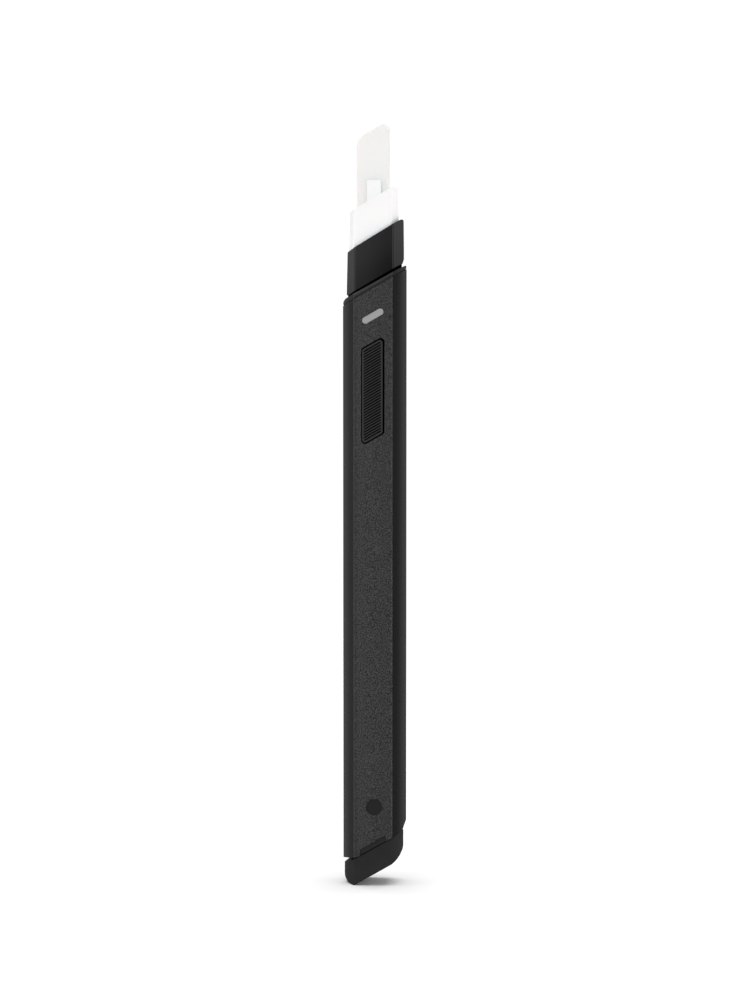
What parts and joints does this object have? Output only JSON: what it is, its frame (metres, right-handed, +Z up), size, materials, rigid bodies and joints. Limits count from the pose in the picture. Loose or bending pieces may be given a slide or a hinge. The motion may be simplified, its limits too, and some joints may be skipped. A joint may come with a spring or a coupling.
{
  "type": "electric eraser",
  "caption": "Slim cordless pen-shaped electric eraser with raked ends, ribbed push button, light slot, swinging eraser head and removable end cap.",
  "frame": {"origin": "centre of the plan outline (midway across width and depth) at the lowest point of the end cap", "axes": "+Z up along the body towards the eraser tip, -Y out of the front flat with the button, +X to the right seen from the front, where the raked ends are high"},
  "size_m": [0.014, 0.01, 0.1686],
  "materials": {
    "shell_textured": "fine speckled satin black coating",
    "bezel_satin": "satin black moulding",
    "soft_black": "soft black elastomer",
    "inner_plastic": "glass-filled grey moulding",
    "steel": "bright drawn steel",
    "foam": "closed-cell foam",
    "light_pipe": "frosted grey diffuser",
    "led_resin": "clear resin on a white body",
    "circuit_board": "green solder mask",
    "chip_black": "black moulding compound",
    "connector_plastic": "natural nylon",
    "cell_sleeve": "blue shrink sleeve",
    "wire_red": "red PVC insulation",
    "wire_black": "black PVC insulation",
    "button_black": "soft-touch black, ribbed",
    "switch_red": "red acetal",
    "bronze": "sintered bronze",
    "tungsten": "sintered heavy alloy",
    "collar_gloss": "semi-gloss black moulding",
    "white_plastic": "smooth white moulding",
    "eraser_white": "smooth off-white vinyl eraser",
    "cap_black": "smooth soft black elastomer"
  },
  "bodies": {
    "casing": {"front_shell": "shell_textured", "rear_shell": "shell_textured", "nose_bezel": "bezel_satin", "nose_seal": "soft_black", "nose_frame": "inner_plastic", "pivot_pin": "steel", "centring_pads": "foam", "light_pipe": "light_pipe", "indicator_led": "led_resin", "main_board": "circuit_board", "board_chips": "chip_black", "board_screws": "steel", "tact_switch": "steel", "battery_connector": "connector_plastic", "battery_cell": "cell_sleeve", "battery_tabs": "steel", "battery_pads": "foam", "battery_leads": "wire_red", "charge_leads": "wire_black", "charge_board": "circuit_board", "charge_chip": "chip_black", "usb_shell": "steel", "usb_tongue": "chip_black", "tail_plate": "inner_plastic"},
    "button": {"button_cap": "button_black"},
    "switch": {"switch_plunger": "switch_red"},
    "rocker": {"rocker_arm": "inner_plastic", "pivot_bushes": "bronze", "motor_can": "steel", "motor_bell": "connector_plastic"},
    "rotor": {"motor_shaft": "steel", "eccentric_weight": "tungsten"},
    "head": {"collar": "collar_gloss", "eraser_holder": "white_plastic"},
    "blade": {"eraser_blade": "eraser_white"},
    "cap": {"end_cap": "cap_black", "cap_seal": "soft_black"}
  },
  "joints": [
    {"name": "button_press", "type": "slide", "parent": "casing", "child": "button", "axis": [0, 1, 0], "range_m": [0, 0.0003], "stiffness_N_per_m": 30, "springref_m": -0.0003},
    {"name": "switch_press", "type": "slide", "parent": "casing", "child": "switch", "axis": [0, 1, 0], "range_m": [0, 0.0003]},
    {"name": "head_swing", "type": "hinge", "parent": "casing", "child": "rocker", "pos_m": [0, 0, 0.1297], "axis": [0, 1, 0], "range_deg": [-1.5, 1.5], "stiffness_Nm_per_rad": 0.1},
    {"name": "motor_spin", "type": "hinge", "parent": "rocker", "child": "rotor", "pos_m": [0, 0.00175, 0.0885], "axis": [0, 0, 1], "continuous": true},
    {"name": "head_release", "type": "slide", "parent": "rocker", "child": "head", "axis": [0, 0, 1], "range_m": [0, 0.012]},
    {"name": "eraser_feed", "type": "slide", "parent": "head", "child": "blade", "axis": [0, 0, 1], "range_m": [0, 0.006]},
    {"name": "end_cap_pull", "type": "slide", "parent": "casing", "child": "cap", "axis": [0, 0, -1], "range_m": [0, 0.02]}
  ],
  "couplings": [
    {"joint": "switch_press", "follows": "button_press", "ratio": 1}
  ]
}
